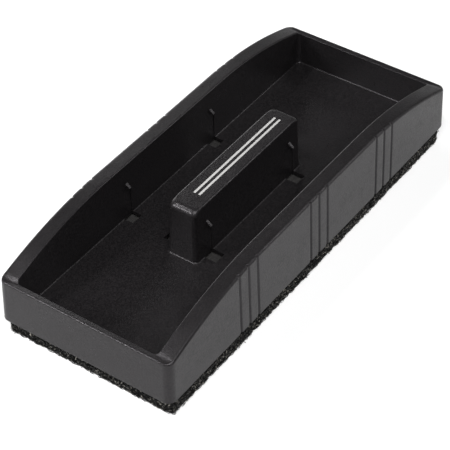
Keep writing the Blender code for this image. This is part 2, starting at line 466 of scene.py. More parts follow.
@dataclass(frozen=True)
class FibreStrand(Finish):
    """Black drawn polyester filament: each strand glints along its length, and some are flecked pale, by chalk powder
    and by painted glints.
    """

    name: ClassVar[str] = "black_polyester_strand"
    colours: tuple[str, str] = ("#0a0a0a", "#a8a49c")  # clean, and pale flecks of chalk powder and painted glints
    roughness: float = 0.34
    gloss: float = 0.15  # strands shade each other, which dulls them
    ior: float = 1.57
    dust_roughness: float = 0.35
    patch_mm: float = 1.6

    def pattern(self, add: AddNode, place: Source) -> dict[str, Source]:
        """Small scattered pale flecks, of chalk powder and of painted glints, which also dull the strand.

        Args:
            add: adds a node.
            place: where the pattern is looked up.

        Returns:
            The flecks' share and the roughness.
        """
        patches = {"Scale": per_metre(self.patch_mm), "Detail": 3.0, "Roughness": 0.65}
        dust_and_glint_noise = add("ShaderNodeTexNoise", patches, {"Vector": place})
        # pale flecks: partly chalk powder, partly painted glints that stand for the strands' highlights
        dust_and_glint = add("ShaderNodeMapRange", {"From Min": 0.57, "From Max": 0.68}, {"Value": dust_and_glint_noise})
        matt = {"To Min": self.roughness, "To Max": self.roughness + self.dust_roughness}
        return {"share": dust_and_glint, "Roughness": add("ShaderNodeMapRange", matt, {"Value": dust_and_glint})}


@dataclass(frozen=True)
class PressedBoardPaintedShade(Finish):
    """Grey pressed fibreboard: matt, flecked with short paler fibres. Both colours are painted much darker, as painted
    shade of the recess under the floor where the board shows through the holes.
    """

    name: ClassVar[str] = "grey_pressed_fibreboard"
    colours: tuple[str, str] = ("#1d1c1c", "#302e2d")  # the board, and its flecks, both darkened by painted shade
    roughness: float = 0.9
    fleck_mm: float = 1.2
    stretch: float = 0.35  # a fleck's width over its length
    depth_mm: float = 0.15

    def pattern(self, add: AddNode, place: Source) -> dict[str, Source]:
        """Flecks drawn out along the board.

        Args:
            add: adds a node.
            place: where the pattern is looked up.

        Returns:
            The flecks' share and the normal.
        """
        along = add("ShaderNodeMapping", {"Scale": (self.stretch, 1.0, 1.0)}, {"Vector": place})
        fleck = {"Scale": per_metre(self.fleck_mm), "Detail": 6.0, "Roughness": 0.7}
        flecks = add("ShaderNodeTexNoise", fleck, {"Vector": along})
        share = add("ShaderNodeMapRange", {"From Min": 0.4, "From Max": 0.7}, {"Value": flecks})
        bump = add("ShaderNodeBump", {"Strength": 0.7, "Distance": self.depth_mm * MM}, {"Height": flecks})
        return {"share": share, "Normal": bump}


@dataclass(frozen=True)
class FoamTape(Finish):
    """Grey closed-cell foam mounting tape: matt with tiny open cells at the cut edge."""

    name: ClassVar[str] = "grey_closed_cell_foam"
    colours: tuple[str, str] = ("#5c5b58", "#8a8985")  # in a cell, darkened as painted shade of its hollow, and between the cells
    roughness: float = 0.8
    cell_mm: float = 0.4
    depth_mm: float = 0.1

    def pattern(self, add: AddNode, place: Source) -> dict[str, Source]:
        """Round cells, dark in the middle with painted shade of their hollows.

        Args:
            add: adds a node.
            place: where the pattern is looked up.

        Returns:
            The paler colour's share and the normal.
        """
        cells = add("ShaderNodeTexVoronoi", {"Scale": per_metre(self.cell_mm)}, {"Vector": place})
        bump = add("ShaderNodeBump", {"Strength": 0.6, "Distance": self.depth_mm * MM}, {"Height": cells})
        return {"share": cells, "Normal": bump}


@dataclass(frozen=True)
class PadPrintedInk(Finish):
    """Pale grey pad-printed ink: satin, a little thin where the moulding's texture shows through."""

    name: ClassVar[str] = "pale_pad_printed_ink"
    colours: tuple[str, str] = ("#a9a8a6", "#77767a")  # full, and thin
    roughness: float = 0.5
    grain_mm: float = 0.6

    def pattern(self, add: AddNode, place: Source) -> dict[str, Source]:
        """Thin spots over the grain.

        Args:
            add: adds a node.
            place: where the pattern is looked up.

        Returns:
            The thin ink's share.
        """
        spots = {"Scale": per_metre(self.grain_mm), "Detail": 4.0, "Roughness": 0.7}
        thin = add("ShaderNodeTexNoise", spots, {"Vector": place})
        return {"share": add("ShaderNodeMapRange", {"From Min": 0.5, "From Max": 0.75}, {"Value": thin})}


@dataclass(frozen=True)
class LitAcrylic:
    """White translucent acrylic sheet of a shooting table, matt above and lit from below."""

    colour: str = "#cccccc"
    glow: float = 0.36
    roughness: float = 0.9
    gloss: float = 0.1

    def material(self) -> Material:
        """Build the finish."""
        made, add = new_material("white_backlit_acrylic")
        constants = {
            "Base Color": linear(self.colour),
            "Roughness": self.roughness,
            "Specular IOR Level": self.gloss,
            "Emission Color": WHITE,
            "Emission Strength": self.glow,
        }
        add("ShaderNodeOutputMaterial", links={"Surface": add("ShaderNodeBsdfPrincipled", constants)})
        return made


# ---- tray moulding


@dataclass
class Columns:
    """The upright columns that every ring of the moulding shares, anticlockwise seen from above.

    Ring points are worked out from these, so that each column joins the same place on every ring.
    """

    along: np.ndarray  # X of the columns on the long sides, and 0 elsewhere
    corner_x: np.ndarray  # which share of the straight half length the column's arc centre is at
    corner_y: np.ndarray
    out_x: np.ndarray  # outward direction at the column
    out_y: np.ndarray

    @property
    def endness(self) -> np.ndarray:
        """1 on the end walls, 0 on the long walls, and in between round the corners."""
        return self.out_x**2

    def level(self, value: float) -> np.ndarray:
        """The same value at every column."""
        return np.full(len(self.along), value)

    def by_wall(self, long: np.ndarray | float, end: float) -> np.ndarray:
        """One value on the long walls, another on the end walls, and a blend round the corners."""
        return long * (1 - self.endness) + end * self.endness

    def ring(self, half_x: np.ndarray, half_y: np.ndarray, corner: np.ndarray, squeeze: float = 1.0) -> np.ndarray:
        """Points of a rounded rectangle.

        Args:
            half_x: half its length, one value or one a column.
            half_y: half its width.
            corner: its corner radius.
            squeeze: by how much the long side columns are drawn together.

        Returns:
            An array of X and Y, one row a column.
        """
        x = self.along * squeeze + self.corner_x * (half_x - corner) + self.out_x * corner
        y = self.corner_y * (half_y - corner) + self.out_y * corner
        return np.stack([x, y], axis=1)


@dataclass
class TrayMoulding:
    """The one-piece tray: skirt, arched hollow long walls, end walls, floor and block handle."""

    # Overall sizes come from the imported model
    half_length: float
    half_width: float
    skirt_z: float
    crest_z: float

    end_rise: float = 30.1  # top of the end walls above the skirt's edge
    side_draft: float = 1.0  # degrees
    end_draft: float = 1.8
    outer_corner: float = 5.5
    crest_flat_half: float = 56.3
    side_rim: float = 10.5
    end_rim: float = 4.1
    cavity_draft: float = 1.0
    cavity_corner: float = 3.0
    floor_rise: float = 6.9
    floor_thickness: float = 2.4
    skin: float = 2.2
    bow: float = 0.7  # moulding shrinkage draws the long rims in at the middle
    skirt_round: float = 0.5
    rim_round: float = 1.8
    end_rim_round: float = 1.0
    lip_round: float = 0.9
    end_lip_round: float = 0.3
    floor_round: float = 0.9
    crease: float = 1.3  # how softly the arch runs into the end rims
    arch_limit: float = 0.9  # share of the shoulder's radius at which its arc stops

    groove_groups: tuple[float, ...] = (-74.0, 0.0, 74.0)
    groove_pitch: float = 9.1
    groove_half_width: float = 1.5
    groove_depth: float = 0.8

    handle_half_length: float = 56.6
    handle_half_width: float = 10.8
    handle_rise: float = 46.1
    handle_draft: float = 1.5
    handle_corner: float = 3.0
    corner_growth: float = 0.9  # how much of its inset the handle's corner radius takes up
    handle_base_round: float = 1.0
    handle_side_round: float = 1.3
    handle_end_round: float = 4.2
    handle_blend: float = 11.0  # length over which the side's rounding grows into the end's
    handle_core_corner: float = 1.5

    column_step: float = 4.0
    column_gap: float = 0.5  # least distance to a corner's own columns, and to a groove's
    corner_steps: int = 9
    end_steps: int = 18
    groove_steps: int = 11
    round_steps: int = 7
    core_steps: int = 41
    outside_shares: tuple[float, ...] = (0.25, 0.5, 0.75)  # where the rings lie on the way between two roundings
    rim_shares: tuple[float, ...] = (0.12, 0.5, 0.88)
    inside_shares: tuple[float, ...] = (0.3, 0.7)
    floor_shares: tuple[float, ...] = (0.03, 0.3, 0.6, 0.95)
    handle_shares: tuple[float, ...] = (0.3, 0.7)
    cut_past: float = 5.0  # how far the solids that hollow it reach below the skirt
    sharp_angle: float = 35.0  # degrees

    end_z: float = field(init=False)
    floor_z: float = field(init=False)
    handle_top_z: float = field(init=False)
    end_top_half: float = field(init=False)
    shoulder_radius: float = field(init=False)
    quarter: np.ndarray = field(init=False)  # angles of the rings round a rounding
    columns: Columns = field(init=False)

    def __post_init__(self) -> None:
        """Work out the levels and the shared columns."""
        self.end_z = self.skirt_z + self.end_rise
        self.floor_z = self.skirt_z + self.floor_rise
        self.handle_top_z = self.skirt_z + self.handle_rise
        self.end_top_half = self.half_length - self.end_rise * slope(self.end_draft)
        run = self.end_top_half - self.end_rim / 2 - self.crest_flat_half
        drop = self.crest_z - self.end_z
        self.shoulder_radius = (run**2 + drop**2) / (2 * drop)
        self.quarter = np.linspace(0.0, math.pi / 2, self.round_steps)
        self.columns = self._columns()

    def _groove_centres(self) -> np.ndarray:
        """X of every groove."""
        return np.array([group + i * self.groove_pitch for group in self.groove_groups for i in (-1, 0, 1)])

    def _groove(self, x: np.ndarray) -> np.ndarray:
        """Depth of the grooves along a long side, a soft V.

        Args:
            x: where along the tray.

        Returns:
            The depth at each X.
        """
        away = np.abs(x[:, None] - self._groove_centres()[None, :]).min(axis=1)
        share = np.clip(away / self.groove_half_width, 0.0, 1.0)
        return self.groove_depth * 0.5 * (1 + np.cos(math.pi * share))

    def _long_side_x(self) -> np.ndarray:
        """X of the columns along a long side: close together at the grooves, even elsewhere."""
        reach = self.cavity_half_length(self.floor_z) - self.cavity_corner - self.column_gap
        even = np.linspace(-reach, reach, round(2 * reach / self.column_step) + 1)
        across = np.linspace(-1.0, 1.0, self.groove_steps) * self.groove_half_width
        close = (self._groove_centres()[:, None] + across[None, :]).ravel()
        far = np.abs(even[:, None] - close[None, :]).min(axis=1) > self.column_gap
        return np.sort(np.concatenate([even[far], close]))

    def _columns(self) -> Columns:
        """Lay out the columns round the tray, starting in the middle of the +X end."""
        arc = np.linspace(0.0, math.pi / 2, self.corner_steps)
        ends = np.linspace(-1.0, 1.0, self.end_steps + 1)[1:-1]
        x = self._long_side_x()
        rows: list[tuple[float, float, float, float, float]] = []
        for end, side, turn in ((1, 1, 1), (-1, 1, -1), (-1, -1, 1), (1, -1, -1)):
            if turn == 1:
                rows += [(0.0, end, share * end, end, 0.0) for share in ends]
            rows += [(0.0, end, side, end * math.cos(angle), side * math.sin(angle)) for angle in arc[::turn]]
            if turn == 1:
                rows += [(value, 0.0, side, 0.0, side) for value in x[:: -side]]
        return Columns(*np.array(rows).T)

    def arch_z(self, x: np.ndarray) -> np.ndarray:
        """Height of the long walls' rim: flat, then a round shoulder, then level with the end rims.

        Args:
            x: where along the tray.

        Returns:
            The height at each X.
        """
        run = np.clip(np.abs(x) - self.crest_flat_half, 0.0, self.shoulder_radius * self.arch_limit)
        above = self.crest_z - self.shoulder_radius + np.sqrt(self.shoulder_radius**2 - run**2) - self.end_z
        soft = self.end_z + (above + np.sqrt(above**2 + self.crease**2)) / 2
        return np.minimum(soft, self.crest_z)

    def outer_half_width(self, z: float) -> float:
        """Half the outside width at a height."""
        return self.half_width - (z - self.skirt_z) * slope(self.side_draft)

    def cavity_half_width(self, z: float) -> float:
        """Half the cavity's width at a height."""
        top = self.outer_half_width(self.crest_z) - self.side_rim
        return top - (self.crest_z - z) * slope(self.cavity_draft)

    def cavity_half_length(self, z: float) -> float:
        """Half the cavity's length at a height."""
        return self.end_top_half - self.end_rim - (self.end_z - z) * slope(self.cavity_draft)

    def _bowed(self, xy: np.ndarray, z: np.ndarray) -> np.ndarray:
        """Draw the long walls in at the middle, more towards the rim.

        Args:
            xy: a ring's X and Y, one row a column.
            z: its height at each column.

        Returns:
            The moved ring, with X, Y and Z.
        """
        fall = np.clip(1 - (xy[:, 0] / self.half_length) ** 2, 0.0, 1.0)
        rise = (z - self.skirt_z) / (self.crest_z - self.skirt_z)
        xy[:, 1] -= np.sign(xy[:, 1]) * self.bow * fall * rise * (1 - self.columns.endness)
        return np.column_stack([xy, z])

    def _outer_row(self, z: np.ndarray, inset: np.ndarray | float = 0.0) -> np.ndarray:
        """A ring of the outside, with the grooves.

        Args:
            z: its height at each column.
            inset: how far it is moved in.

        Returns:
            X, Y and Z, one row a column.
        """
        half_x = self.half_length - (z - self.skirt_z) * slope(self.end_draft) - inset
        xy = self.columns.ring(half_x, self.outer_half_width(z) - inset, self.outer_corner - inset)
        xy[:, 1] -= np.sign(xy[:, 1]) * (self._groove(xy[:, 0]) * (1 - self.columns.endness))
        return self._bowed(xy, z)

    def _cavity_row(self, z: np.ndarray, inset: np.ndarray | float = 0.0) -> np.ndarray:
        """A ring of the cavity's wall.

        Args:
            z: its height at each column.
            inset: how far it is moved towards the middle.

        Returns:
            X, Y and Z, one row a column.
        """
        half_x, half_y = self.cavity_half_length(z) - inset, self.cavity_half_width(z) - inset
        return self._bowed(self.columns.ring(half_x, half_y, self.cavity_corner - inset), z)

    def _handle_row(self, z: np.ndarray, end_inset: np.ndarray | float, side_inset: np.ndarray | float) -> np.ndarray:
        """A ring of the handle.

        Args:
            z: its height at each column.
            end_inset: how far its ends are moved in.
            side_inset: how far its sides are moved in.

        Returns:
            X, Y and Z, one row a column.
        """
        shrink = (z - self.floor_z) * slope(self.handle_draft)
        rounding = self.handle_corner + self.handle_side_round + self.handle_end_round
        drawn_in = (self.handle_top_z - self.floor_z) * slope(self.handle_draft)
        squeeze = (self.handle_half_length - rounding - drawn_in) / np.abs(self.columns.along).max()
        half_x, half_y = self.handle_half_length - shrink - end_inset, self.handle_half_width - shrink - side_inset
        corner = self.handle_corner + side_inset * self.corner_growth
        return np.column_stack([self.columns.ring(half_x, half_y, corner, squeeze), z])

    def _outside_rows(self) -> list[np.ndarray]:
        """Rings from the skirt's edge up the outside and over the rim's outer rounding."""
        rows = []
        for angle in self.quarter[::-2]:
            z = self.columns.level(self.skirt_z + self.skirt_round * (1 - math.sin(angle)))
            rows.append(self._outer_row(z, self.skirt_round * (1 - math.cos(angle))))
        rim = self.arch_z(self._outer_row(self.columns.level(self.end_z))[:, 0])
        start = rows[-1][:, 2]
        size = self.columns.by_wall(self.rim_round, self.end_rim_round)
        rows += [self._outer_row(start + (rim - size - start) * share) for share in self.outside_shares]
        for angle in self.quarter:
            rows.append(self._outer_row(rim - size * (1 - math.sin(angle)), size * (1 - math.cos(angle))))
        return rows

    def _cavity_rows(self, outer_end: np.ndarray) -> list[np.ndarray]:
        """Rings over the rim, down into the tray and out onto its floor.

        Args:
            outer_end: the last ring of the outside.

        Returns:
            The rings, in that order.
        """
        lip_x = self._cavity_row(self.columns.level(self.end_z))[:, 0]
        lip = self.columns.by_wall(self.arch_z(lip_x), self.end_z)
        size = self.columns.by_wall(self.lip_round, self.end_lip_round)
        start = self._cavity_row(lip, -size)
        rows = [outer_end + (start - outer_end) * share for share in self.rim_shares]
        for angle in self.quarter:
            rows.append(self._cavity_row(lip - size * (1 - math.cos(angle)), -size * (1 - math.sin(angle))))
        bottom = self.floor_z + self.floor_round
        rows += [self._cavity_row((lip - size) * (1 - share) + bottom * share) for share in self.inside_shares]
        for angle in self.quarter:
            z = self.columns.level(self.floor_z + self.floor_round * (1 - math.sin(angle)))
            rows.append(self._cavity_row(z, self.floor_round * (1 - math.cos(angle))))
        return rows

    def _handle_rows(self, wall_foot: np.ndarray) -> list[np.ndarray]:
        """Rings across the floor, up the handle and over the rounding of its top.

        Args:
            wall_foot: the ring where the cavity's wall meets the floor.

        Returns:
            The rings, in that order.
        """
        foot = self._handle_row(self.columns.level(self.floor_z), -self.handle_base_round, -self.handle_base_round)
        rows = [wall_foot + (foot - wall_foot) * share for share in self.floor_shares]
        for angle in self.quarter:
            z = self.columns.level(self.floor_z + self.handle_base_round * (1 - math.cos(angle)))
            out = -self.handle_base_round * (1 - math.sin(angle))
            rows.append(self._handle_row(z, out, out))
        start = rows[-1][:, 2]
        nearness = np.clip((np.abs(rows[-1][:, 0]) - self.handle_half_length) / self.handle_blend + 1, 0.0, 1.0)
        blend = nearness**2 * (3 - 2 * nearness)
        size = self.handle_side_round * (1 - blend) + self.handle_end_round * blend
        for share in self.handle_shares:
            rows.append(self._handle_row(start + (self.handle_top_z - size - start) * share, 0.0, 0.0))
        for angle in self.quarter:
            over = 1 - math.cos(angle)
            z = self.handle_top_z - size * (1 - math.sin(angle))
            rows.append(self._handle_row(z, self.handle_end_round * over, self.handle_side_round * over))
        return rows

    def shell(self) -> Object:
        """Join the rings into one closed solid, flat underneath."""
        rows = self._outside_rows()
        rows += self._cavity_rows(rows[-1])
        rows += self._handle_rows(rows[-1])
        bm = bmesh.new()
        rings = [[bm.verts.new(point * MM) for point in row] for row in rows]
        for lower, upper in zip(rings, rings[1:]):
            add_band(bm, lower, upper)
        bm.faces.new(rings[0][::-1])
        bm.faces.new(rings[-1])
        return object_from("tray_moulding", bm)

    def _wall_cores(self, below: float) -> BMesh:
        """The hollows of the long walls, whose tops follow the arch.

        Args:
            below: the height that they reach down to.

        Returns:
            Both, in one mesh.
        """
        bm = bmesh.new()
        inner = self.cavity_half_width(self.crest_z) + self.skin
        outer = self.outer_half_width(self.crest_z) - self.skin - self.bow
        reach = self.cavity_half_length(self.floor_z) - self.skin
        spans = np.linspace(-reach, reach, self.core_steps)
        outline = [(-reach, below), *zip(spans, self.arch_z(spans) - self.skin), (reach, below)]
        for side in Side:
            faces = sorted((side.value * inner, side.value * outer))
            near, far = ([bm.verts.new((x * MM, y * MM, z * MM)) for x, z in outline] for y in faces)
            bm.faces.new(near)
            bm.faces.new(far[::-1])
            add_band(bm, far, near)
        bmesh.ops.recalc_face_normals(bm, faces=bm.faces)
        return bm

    def hollows(self) -> list[Object]:
        """Solids to take out from below: the recess inside the skirt, the long walls' cores and the handle's."""
        under = self.floor_z - self.floor_thickness
        below = self.skirt_z - self.cut_past
        recess, handle = bmesh.new(), bmesh.new()
        half_x, half_y = self.half_length - self.end_rim, self.half_width - self.skin
        add_box(recess, (-half_x, -half_y, below), (half_x, half_y, under), corner=self.outer_corner - self.skin)
        top = self.handle_top_z - self.skin
        inset = (top - below) * slope(self.handle_draft)
        half_x, half_y = self.handle_half_length - self.skin, self.handle_half_width - self.skin
        add_box(handle, (-half_x, -half_y, below), (half_x, half_y, top), inset, self.handle_core_corner)
        named = {"recess": recess, "wall_cores": self._wall_cores(below), "handle_core": handle}
        return [object_from(name, bm) for name, bm in named.items()]

    def build(self, stations: "PenStations", finish: Material) -> Object:
        """Make the finished tray.

        Args:
            stations: the pen stations moulded into it.
            finish: the tray's plastic.

        Returns:
            The tray as one closed mesh.
        """
        tray = self.shell()
        cut(tray, "DIFFERENCE", *self.hollows())
        cut(tray, "DIFFERENCE", stations.solids(StationPart.BAND, finish))
        cut(tray, "DIFFERENCE", stations.solids(StationPart.HOLE, finish))
        cut(tray, "UNION", stations.solids(StationPart.NUB, finish))
        clean = bmesh.new()
        clean.from_mesh(tray.data)
        bmesh.ops.remove_doubles(clean, verts=clean.verts, dist=SAME_PLACE)
        bmesh.ops.dissolve_degenerate(clean, edges=clean.edges, dist=SAME_PLACE)
        clean.to_mesh(tray.data)
        clean.free()
        tray.data.shade_smooth()
        tray.data.set_sharp_from_angle(angle=math.radians(self.sharp_angle))
        weights = tray.modifiers.new("flat_faces_stay_flat", "WEIGHTED_NORMAL")
        weights.keep_sharp = True
        weights.weight = 100  # the largest faces alone set the normals
        bake_modifiers(tray)
        wear(tray, finish)
        return tray


# ---- stations


@dataclass
class PenStations:
    """Eight stations along the two pen channels: a snap nub, the relief band under it and the hole in the floor."""

    tray: TrayMoulding
    spacing: float = 88.0  # along the tray, between the two stations of a row
    nub_top: float = 33.9  # above the skirt's edge
    nub_depth: float = 3.5
    nub_height: float = 4.4
    nub_tip: float = 0.8
    nub_half_width: float = 1.15
    nub_taper: float = 0.8  # width at the tip over width at the wall
    nub_round: float = 0.3
    nub_round_steps: int = 3
    band_half_width: float = 3.8
    band_depth: float = 0.25
    hole_half_length: float = 4.5
    wall_hole: float = 7.4  # across, from the wall's face
    handle_hole: float = 9.3
    past_floor: tuple[float, float] = (2.0, 0.5)  # how far the hole's cutter stands out below and above

    def _faces(self) -> tuple[float, float]:
        """Y of the long wall's and the handle's face, at the foot of the nub."""
        ledge = self.tray.skirt_z + self.nub_top - self.nub_height
        drawn_in = (ledge - self.tray.floor_z) * slope(self.tray.handle_draft)
        return self.tray.cavity_half_width(ledge), self.tray.handle_half_width - drawn_in

    def _nub(self, bm: BMesh, foot: float, top: float) -> None:
        """Add a nub, which slopes down to a narrower tip.

        Args:
            bm: the mesh that it goes into.
            foot: the height of its underside.
            top: the height of its top.
        """
        tip_z = (foot + self.nub_tip) * MM
        low = (-self.nub_half_width, -self.tray.skin / 2, foot)
        for vert in add_box(bm, low, (self.nub_half_width, self.nub_depth, top)):
            if vert.co.y > 0 and vert.co.z > tip_z:
                vert.co.z = tip_z
                vert.co.x *= self.nub_taper
        rounded = [e for e in bm.edges if max(v.co.y for v in e.verts) > 0]
        size, steps = self.nub_round * MM, self.nub_round_steps
        bmesh.ops.bevel(bm, geom=rounded, offset=size, segments=steps, profile=0.5, affect="EDGES")

    def _one(self, part: StationPart, hole_width: float, draft: float) -> Object:
        """One station's solid, for a face in the XZ plane whose channel is at +Y.

        Args:
            part: which of the station's parts.
            hole_width: how far the hole reaches into the channel.
            draft: the face's draft, in degrees.

        Returns:
            The solid, as a helper object.
        """
        tray = self.tray
        top = tray.skirt_z + self.nub_top
        foot = top - self.nub_height
        bm = bmesh.new()
        if part is StationPart.NUB:
            self._nub(bm, foot, top)
        elif part is StationPart.BAND:
            half, low = self.band_half_width, tray.floor_z - tray.floor_thickness / 2
            for vert in add_box(bm, (-half, -self.band_depth, low), (half, self.nub_depth, foot)):
                if vert.co.y < 0 and vert.co.z < tray.floor_z * MM:
                    vert.co.y += (foot - low) * slope(draft) * MM
        else:
            below, above = self.past_floor
            half, low = self.hole_half_length, tray.floor_z - tray.floor_thickness - below
            add_box(bm, (-half, -self.band_depth, low), (half, hole_width, tray.floor_z + above))
        return object_from(part.value, bm)

    def _rows(self, part: StationPart, finish: Material) -> NodeTree:
        """Geometry Nodes: a row of two copies, set against both long walls and both faces of the handle.

        Args:
            part: which of the station's parts.
            finish: the tray's plastic.

        Returns:
            The tree.
        """
        lengths = dict.fromkeys(("Spacing", "Wall face", "Handle face"), "Float")
        rule, add, given = new_rule(f"{part.value}_rows", {"At wall": "Object", "At handle": "Object"} | lengths)
        half = add("ShaderNodeMath", {1: -0.5}, {0: given["Spacing"]}, operation="MULTIPLY")
        ends = {
            "Start Location": add("ShaderNodeCombineXYZ", links={"X": half}),
            "Offset": add("ShaderNodeCombineXYZ", links={"X": given["Spacing"]}),
        }
        row = add("GeometryNodeMeshLine", {"Count": 2}, ends)
        rows = []
        for shape, face, inwards in (("At wall", "Wall face", -1), ("At handle", "Handle face", 1)):
            solid = add("GeometryNodeObjectInfo", links={"Object": given[shape]}).outputs["Geometry"]
            copies = add("GeometryNodeInstanceOnPoints", links={"Points": row, "Instance": solid})
            for side in Side:
                turn = {"Rotation": (0.0, 0.0, 0.0 if inwards * side.value > 0 else math.pi)}
                turned = add("GeometryNodeTransform", turn, {"Geometry": copies})
                shift = add("ShaderNodeMath", {1: float(side.value)}, {0: given[face]}, operation="MULTIPLY")
                at = add("ShaderNodeCombineXYZ", links={"Y": shift})
                rows.append(add("GeometryNodeTransform", links={"Geometry": turned, "Translation": at}))
        joined = add("GeometryNodeJoinGeometry", links={"Geometry": rows})
        whole = add("GeometryNodeRealizeInstances", links={"Geometry": joined})
        dressed = add("GeometryNodeSetMaterial", {"Material": finish}, {"Geometry": whole})
        add("NodeGroupOutput", links={"Geometry": dressed})
        return rule

    def solids(self, part: StationPart, finish: Material) -> Object:
        """All eight solids of one kind, as one plain mesh.

        Args:
            part: which of the station's parts.
            finish: the tray's plastic.

        Returns:
            The object that holds them.
        """
        at_wall = self._one(part, self.wall_hole, self.tray.cavity_draft)
        at_handle = self._one(part, self.handle_hole, self.tray.handle_draft)
        wall_face, handle_face = self._faces()
        given = {
            "At wall": at_wall,
            "At handle": at_handle,
            "Spacing": self.spacing * MM,
            "Wall face": wall_face * MM,
            "Handle face": handle_face * MM,
        }
        rows = grow(f"{part.value}_set", self._rows(part, finish), given)
        remove(at_wall, at_handle)
        return rows


# ---- pad


@dataclass
class WipingPad:
    """Lofty fibre pad under the tray: a dense batt with loose curled strands over its edges and its face."""

    low: Vector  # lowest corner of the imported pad, in metres
    high: Vector
    corner: float = 3.0
    corner_steps: int = 4
    least_corner: float = 0.3
    top_round: float = 0.5
    edge_round: float = 1.3
    edge_steps: int = 5
    edge_rings: tuple[float, float] = (1.2, 0.6)  # from the top down to the first, and the last over the rounding
    face_insets: tuple[float, ...] = (4.0, 7.0, 12.0, 20.0, 30.0, 42.0)
    slit: float = 2.0  # width of the last ring, which one face closes
    face_lift: float = 0.4  # the batt's face above the surface, which the strands rest on
    edge_wander: float = 0.3
    edge_lean: float = 0.3  # how much more of the edge wanders inwards than outwards
    face_wander: float = 0.12
    wander_mm: float = 1.9
    wander_octaves: tuple[float, float, int] = (0.6, 2.1, 3)  # how fast they fade, how they close up, and how many
    column_step: float = 1.3
    sharp_angle: float = 50.0  # degrees
    edge_density: float = 0.6  # strands a square millimetre
    face_density: float = 0.15
    flat_normal: float = 0.8  # how upright a face's normal is, from which it counts as the top or the face
    strand_length: float = 4.4
    strand_radius: float = 0.19
    strand_sides: int = 3
    strand_steps: int = 6
    strand_sizes: tuple[float, float] = (0.5, 1.25)
    strand_tilt: float = 0.16  # radians
    strand_shapes: tuple[tuple[float, float, float], ...] = (  # bend, lift and hook, as shares of the length
        (0.35, 0.16, 0.1),
        (-0.3, 0.22, -0.2),
        (0.15, 0.12, 0.3),
        (-0.5, 0.18, 0.15),
    )
    clearance: float = 0.02  # between the lowest strand and the surface
    softness: float = 0.35  # over what height the strands are bent back from it
    seed: int = 7

    def _levels(self, half_y: float, face: float, top: float) -> list[tuple[float, float]]:
        """Where the batt's rings lie, from the middle of its top over the edge to the middle of its face.

        Args:
            half_y: half the pad's width.
            face: the height of its face.
            top: the height of its top.

        Returns:
            Each ring's inset from the pad's edge, and its height.
        """
        angles = np.linspace(0.0, math.pi / 2, self.edge_steps)
        quarter = [(1 - math.cos(angle), 1 - math.sin(angle)) for angle in angles]
        insets = (*self.face_insets, half_y - self.slit / 2)
        first, last = self.edge_rings
        levels = [(inset, top) for inset in reversed(insets)]
        levels += [(self.top_round * rise, top - self.top_round * run) for run, rise in quarter]
        edge = np.linspace(top - first, face + self.edge_round + last, self.edge_steps)
        levels += [(0.0, z) for z in edge]
        levels += [(self.edge_round * run, face + self.edge_round * rise) for run, rise in quarter]
        return levels + [(inset, face) for inset in insets]

    def _outline(self, half_x: float, half_y: float, inset: float) -> list[tuple[float, float, tuple]]:
        """Points round the pad, anticlockwise.

        Args:
            half_x: half the pad's length.
            half_y: half its width.
            inset: how far inside the pad's edge the points lie.

        Returns:
            X, Y and the outward direction of each point. There are as many at every inset.
        """
        made = []
        corner = max(self.corner - inset, self.least_corner)
        for side in range(4):
            turn = side * math.pi / 2
            out = (math.cos(turn), math.sin(turn))
            depth, reach = (half_x, half_y) if side % 2 == 0 else (half_y, half_x)
            steps = round(2 * (reach - self.corner) / self.column_step)
            straight = reach - inset - corner
            for share in np.linspace(-1.0, 1.0, steps, endpoint=False):
                x = out[0] * (depth - inset) - out[1] * share * straight
                y = out[1] * (depth - inset) + out[0] * share * straight
                made.append((x, y, out))
            away = depth - inset - corner
            centre = (out[0] * away - out[1] * straight, out[1] * away + out[0] * straight)
            for step in range(self.corner_steps):
                angle = turn + step * math.pi / (2 * self.corner_steps)
                way = (math.cos(angle), math.sin(angle))
                made.append((centre[0] + way[0] * corner, centre[1] + way[1] * corner, way))
        return made

    def batt(self, finish: Material) -> Object:
        """The dense body: rings from the top over the edge to the face, which all wander a little.

        Args:
            finish: the batt's material.

        Returns:
            A closed mesh.
        """
        low, high = self.low / MM, self.high / MM
        middle, half = (low + high) / 2, (high - low) / 2
        bm = bmesh.new()
        rings = []
        for inset, z in self._levels(half.y, low.z + self.face_lift, high.z):
            ring = []
            for x, y, out in self._outline(half.x, half.y, inset):
                place = Vector((middle.x + x, middle.y + y, z))
                wander = noise.fractal(place / self.wander_mm, *self.wander_octaves)
                if inset < self.edge_round:
                    place += Vector((*out, 0.0)) * (wander - self.edge_lean) * self.edge_wander
                elif z < high.z:
                    place.z += wander * self.face_wander
                ring.append(bm.verts.new(place * MM))
            rings.append(ring)
        for upper, lower in zip(rings, rings[1:]):
            add_band(bm, lower, upper)
        bm.faces.new(rings[0])
        bm.faces.new(rings[-1][::-1])
        batt = object_from("fibre_batt", bm, finish)
        batt.data.shade_smooth()
        batt.data.set_sharp_from_angle(angle=math.radians(self.sharp_angle))
        return batt

    def _points(self, add: AddNode, given: Sockets) -> Node:
        """Nodes that scatter points over the batt's edge and face, with none on its top.

        Args:
            add: adds a node.
            given: the tree's inputs.

        Returns:
            The last node, which also gives the points' normals.
        """
        batt = add("GeometryNodeObjectInfo", links={"Object": given["Batt"]}).outputs["Geometry"]
        upright = add("ShaderNodeSeparateXYZ", links={"Vector": add("GeometryNodeInputNormal")}).outputs["Z"]
        on_face, off_top = (
            add("ShaderNodeMath", {1: limit}, {0: upright}, operation="LESS_THAN")
            for limit in (-self.flat_normal, self.flat_normal)
        )
        sources = {"Factor": on_face, "A": given["Edge density"], "B": given["Face density"]}
        wanted = add("ShaderNodeMix", links=sources)
        density = add("ShaderNodeMath", links={0: wanted, 1: off_top}, operation="MULTIPLY")
        scatter = {"Mesh": batt, "Density": density, "Seed": given["Seed"]}
        return add("GeometryNodeDistributePointsOnFaces", links=scatter)

